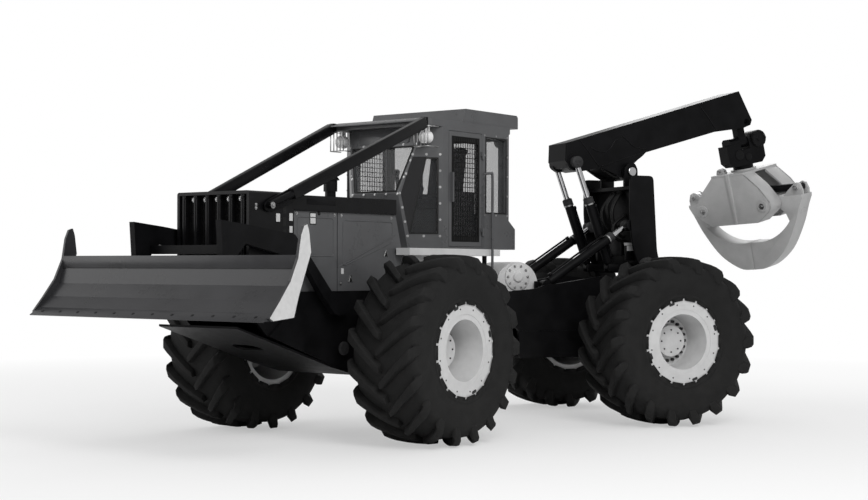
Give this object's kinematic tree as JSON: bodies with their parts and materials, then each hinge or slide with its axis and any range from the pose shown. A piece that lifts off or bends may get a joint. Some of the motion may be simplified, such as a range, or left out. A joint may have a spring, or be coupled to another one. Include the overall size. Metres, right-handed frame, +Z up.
{
  "type": "grapple skidder",
  "caption": "Articulated wheeled grapple skidder with a front blade, a guarded cab, a swing arch, a boom and a log grapple.",
  "frame": {"origin": "middle of the bounding box at ground level", "axes": "+Z up, the front of the machine faces -Y, its left side faces +X"},
  "size_m": [4.351, 8.4849, 3.76],
  "materials": {
    "body_dark_grey": "semi-gloss",
    "cast_dark": "rough",
    "console_plastic": "matte",
    "cover_black": "satin",
    "frame_black": "semi-gloss",
    "grapple_grey": "satin",
    "lamp_glass": "clear",
    "light_grey": "satin",
    "pin_steel": "satin",
    "rim_grey": "semi-gloss",
    "rod_chrome": "polished",
    "seat_fabric": "woven",
    "tyre_rubber": "matte",
    "window_glass": "clear"
  },
  "bodies": {
    "front": {"front_frame": "frame_black", "belly_pan": "frame_black", "engine_block": "cast_dark", "centre_pivot_pins": "pin_steel", "grille_housing": "cover_black", "grille": "cover_black", "side_panels": "body_dark_grey", "hood_cover": "cover_black", "exhaust_stack": "cover_black", "cab_shell": "body_dark_grey", "cab_roof": "cover_black", "cab_glass": "window_glass", "seat": "seat_fabric", "console": "console_plastic", "risers": "frame_black", "work_lamps": "lamp_glass", "cab_platform": "light_grey", "side_tanks": "frame_black", "front_axle": "cast_dark"},
    "wheel_front_left": {"rim_front_left": "rim_grey", "tyre_front_left": "tyre_rubber"},
    "wheel_front_right": {"rim_front_right": "rim_grey", "tyre_front_right": "tyre_rubber"},
    "wheel_rear_left": {"rim_rear_left": "rim_grey", "tyre_rear_left": "tyre_rubber"},
    "wheel_rear_right": {"rim_rear_right": "rim_grey", "tyre_rear_right": "tyre_rubber"},
    "door_left": {"cab_door_left": "body_dark_grey", "door_glass_left": "window_glass"},
    "door_right": {"cab_door_right": "body_dark_grey", "door_glass_right": "window_glass"},
    "blade_body": {"lift_arms": "frame_black", "blade": "frame_black"},
    "blade_barrel_body": {"blade_barrels": "frame_black"},
    "blade_rod_body": {"blade_rods": "rod_chrome"},
    "steering_barrel_left_body": {"steering_barrel_left": "frame_black"},
    "steering_rod_left_body": {"steering_rod_left": "rod_chrome"},
    "steering_barrel_right_body": {"steering_barrel_right": "frame_black"},
    "steering_rod_right_body": {"steering_rod_right": "rod_chrome"},
    "rear": {"rear_frame": "frame_black", "winch": "light_grey", "rear_axle": "cast_dark"},
    "arch_body": {"arch": "frame_black"},
    "arch_barrel_body": {"arch_barrels": "frame_black"},
    "arch_rod_body": {"arch_rods": "rod_chrome"},
    "boom_body": {"boom": "frame_black"},
    "boom_barrel_body": {"boom_barrels": "frame_black"},
    "boom_rod_body": {"boom_rods": "rod_chrome"},
    "link_body": {"boom_link": "frame_black"},
    "yoke_body": {"grapple_yoke": "frame_black"},
    "head_body": {"grapple_head": "grapple_grey"},
    "tong_left_body": {"tong_left": "grapple_grey"},
    "tong_right_body": {"tong_right": "grapple_grey"},
    "tong_barrel_body": {"tong_barrel": "frame_black"},
    "tong_rod_body": {"tong_rod": "rod_chrome"}
  },
  "joints": [
    {"name": "wheel_front_left_spin", "type": "hinge", "parent": "front", "child": "wheel_front_left", "pos_m": [0.6625, -1.618, 0.9], "axis": [1, 0, 0], "continuous": true},
    {"name": "wheel_front_right_spin", "type": "hinge", "parent": "front", "child": "wheel_front_right", "pos_m": [-1.7875, -1.618, 0.9], "axis": [1, 0, 0], "continuous": true},
    {"name": "wheel_rear_left_spin", "type": "hinge", "parent": "rear", "child": "wheel_rear_left", "pos_m": [1.44249, 1.42648, 0.9], "axis": [0.8768, -0.4808, 0], "continuous": true},
    {"name": "wheel_rear_right_spin", "type": "hinge", "parent": "rear", "child": "wheel_rear_right", "pos_m": [-0.70569, 2.60453, 0.9], "axis": [0.8768, -0.4808, 0], "continuous": true},
    {"name": "steering", "type": "hinge", "parent": "front", "child": "rear", "pos_m": [-0.5625, 0.318, 0.97], "axis": [0, 0, 1], "range_deg": [-16.26, 73.74]},
    {"name": "steering_barrel_left_hinge", "type": "hinge", "parent": "front", "child": "steering_barrel_left_body", "pos_m": [-0.2625, -0.582, 0.97], "axis": [0, 0, 1], "range_deg": [-5.18, 19.94]},
    {"name": "steering_rod_left_slide", "type": "slide", "parent": "steering_barrel_left_body", "child": "steering_rod_left_body", "axis": [0.1157, 0.9933, 0], "range_m": [-0.0946, 0.3938]},
    {"name": "steering_barrel_right_hinge", "type": "hinge", "parent": "front", "child": "steering_barrel_right_body", "pos_m": [-0.8625, -0.582, 0.97], "axis": [0, 0, 1], "range_deg": [-5.24, 20.22]},
    {"name": "steering_rod_right_slide", "type": "slide", "parent": "steering_barrel_right_body", "child": "steering_rod_right_body", "axis": [0.1451, 0.9894, 0], "range_m": [-0.3815, 0.0919]},
    {"name": "door_left_hinge", "type": "hinge", "parent": "front", "child": "door_left", "pos_m": [0.0935, -0.059, 2.5], "axis": [0, 0, 1], "range_deg": [0, 80]},
    {"name": "door_right_hinge", "type": "hinge", "parent": "front", "child": "door_right", "pos_m": [-1.2185, -0.059, 2.5], "axis": [0, 0, -1], "range_deg": [0, 80]},
    {"name": "blade_lift", "type": "hinge", "parent": "front", "child": "blade_body", "pos_m": [-0.5625, -2.212, 1.324], "axis": [1, 0, 0], "range_deg": [-3, 45]},
    {"name": "blade_barrel_hinge", "type": "hinge", "parent": "front", "child": "blade_barrel_body", "pos_m": [-0.5625, -1.132, 1.25], "axis": [1, 0, 0], "range_deg": [-2.35, 1.09]},
    {"name": "blade_rod_slide", "type": "slide", "parent": "blade_barrel_body", "child": "blade_rod_body", "axis": [0, -0.9788, -0.2048], "range_m": [-0.2399, 0.0253]},
    {"name": "arch_tilt", "type": "hinge", "parent": "rear", "child": "arch_body", "pos_m": [0.51938, 2.29082, 1.4], "axis": [-0.8768, 0.4808, 0], "range_deg": [-4, 46]},
    {"name": "arch_barrel_hinge", "type": "hinge", "parent": "rear", "child": "arch_barrel_body", "pos_m": [-0.12494, 1.1159, 1.489], "axis": [-0.8768, 0.4808, 0], "range_deg": [-1.89, 11.27]},
    {"name": "arch_rod_slide", "type": "slide", "parent": "arch_barrel_body", "child": "arch_rod_body", "axis": [0.405, 0.7385, 0.539], "range_m": [-0.0609, 0.5955]},
    {"name": "boom_lift", "type": "hinge", "parent": "arch_body", "child": "boom_body", "pos_m": [0.4362, 2.13914, 2.768], "axis": [0.8768, -0.4808, 0], "range_deg": [-30, 10]},
    {"name": "boom_barrel_hinge", "type": "hinge", "parent": "arch_body", "child": "boom_barrel_body", "pos_m": [0.31262, 1.91379, 1.68], "axis": [0.8768, -0.4808, 0], "range_deg": [-9.75, 3.92]},
    {"name": "boom_rod_slide", "type": "slide", "parent": "boom_barrel_body", "child": "boom_rod_body", "axis": [-0.1657, -0.3021, 0.9388], "range_m": [-0.1085, 0.3056]},
    {"name": "link_swing", "type": "hinge", "parent": "boom_body", "child": "link_body", "pos_m": [1.21659, 3.5622, 3.4], "axis": [-0.8768, 0.4808, 0], "range_deg": [-45, 20]},
    {"name": "yoke_swing", "type": "hinge", "parent": "link_body", "child": "yoke_body", "pos_m": [1.23859, 3.6023, 3.18481], "axis": [0.4703, 0.8577, 0.2079], "range_deg": [-30, 30]},
    {"name": "grapple_spin", "type": "hinge", "parent": "yoke_body", "child": "head_body", "pos_m": [1.23203, 3.70708, 2.87403], "axis": [-0.0822, -0.1977, 0.9768], "continuous": true},
    {"name": "tong_left_open", "type": "hinge", "parent": "head_body", "child": "tong_left_body", "pos_m": [1.6816, 3.72601, 2.4755], "axis": [-0.1436, -0.9676, -0.2079], "range_deg": [0, 45]},
    {"name": "tong_right_open", "type": "hinge", "parent": "head_body", "child": "tong_right_body", "pos_m": [0.85318, 3.85818, 2.4325], "axis": [-0.1436, -0.9676, -0.2079], "range_deg": [-46, 1]},
    {"name": "tong_barrel_hinge", "type": "hinge", "parent": "tong_left_body", "child": "tong_barrel_body", "pos_m": [1.98034, 3.64779, 2.63326], "axis": [-0.1436, -0.9676, -0.2079], "range_deg": [-46, 1]},
    {"name": "tong_rod_slide", "type": "slide", "parent": "tong_barrel_body", "child": "tong_rod_body", "axis": [-0.9862, 0.1573, -0.0512], "range_m": [-0.3661, 0.01]}
  ],
  "couplings": [
    {"joint": "steering_barrel_left_hinge", "follows": "steering", "ratio": 0.2568},
    {"joint": "steering_rod_left_slide", "follows": "steering", "m_per_rad": 0.29818},
    {"joint": "steering_barrel_right_hinge", "follows": "steering", "ratio": 0.26064},
    {"joint": "steering_rod_right_slide", "follows": "steering", "m_per_rad": -0.28863},
    {"joint": "blade_barrel_hinge", "follows": "blade_lift", "ratio": -0.0301},
    {"joint": "blade_rod_slide", "follows": "blade_lift", "m_per_rad": -0.29269},
    {"joint": "arch_barrel_hinge", "follows": "arch_tilt", "ratio": 0.2233},
    {"joint": "arch_rod_slide", "follows": "arch_tilt", "m_per_rad": 0.72923},
    {"joint": "boom_barrel_hinge", "follows": "boom_lift", "ratio": 0.29154},
    {"joint": "boom_rod_slide", "follows": "boom_lift", "m_per_rad": -0.56459},
    {"joint": "tong_right_open", "follows": "tong_left_open", "ratio": -1},
    {"joint": "tong_barrel_hinge", "follows": "tong_left_open", "ratio": -1},
    {"joint": "tong_rod_slide", "follows": "tong_left_open", "m_per_rad": -0.45343}
  ]
}
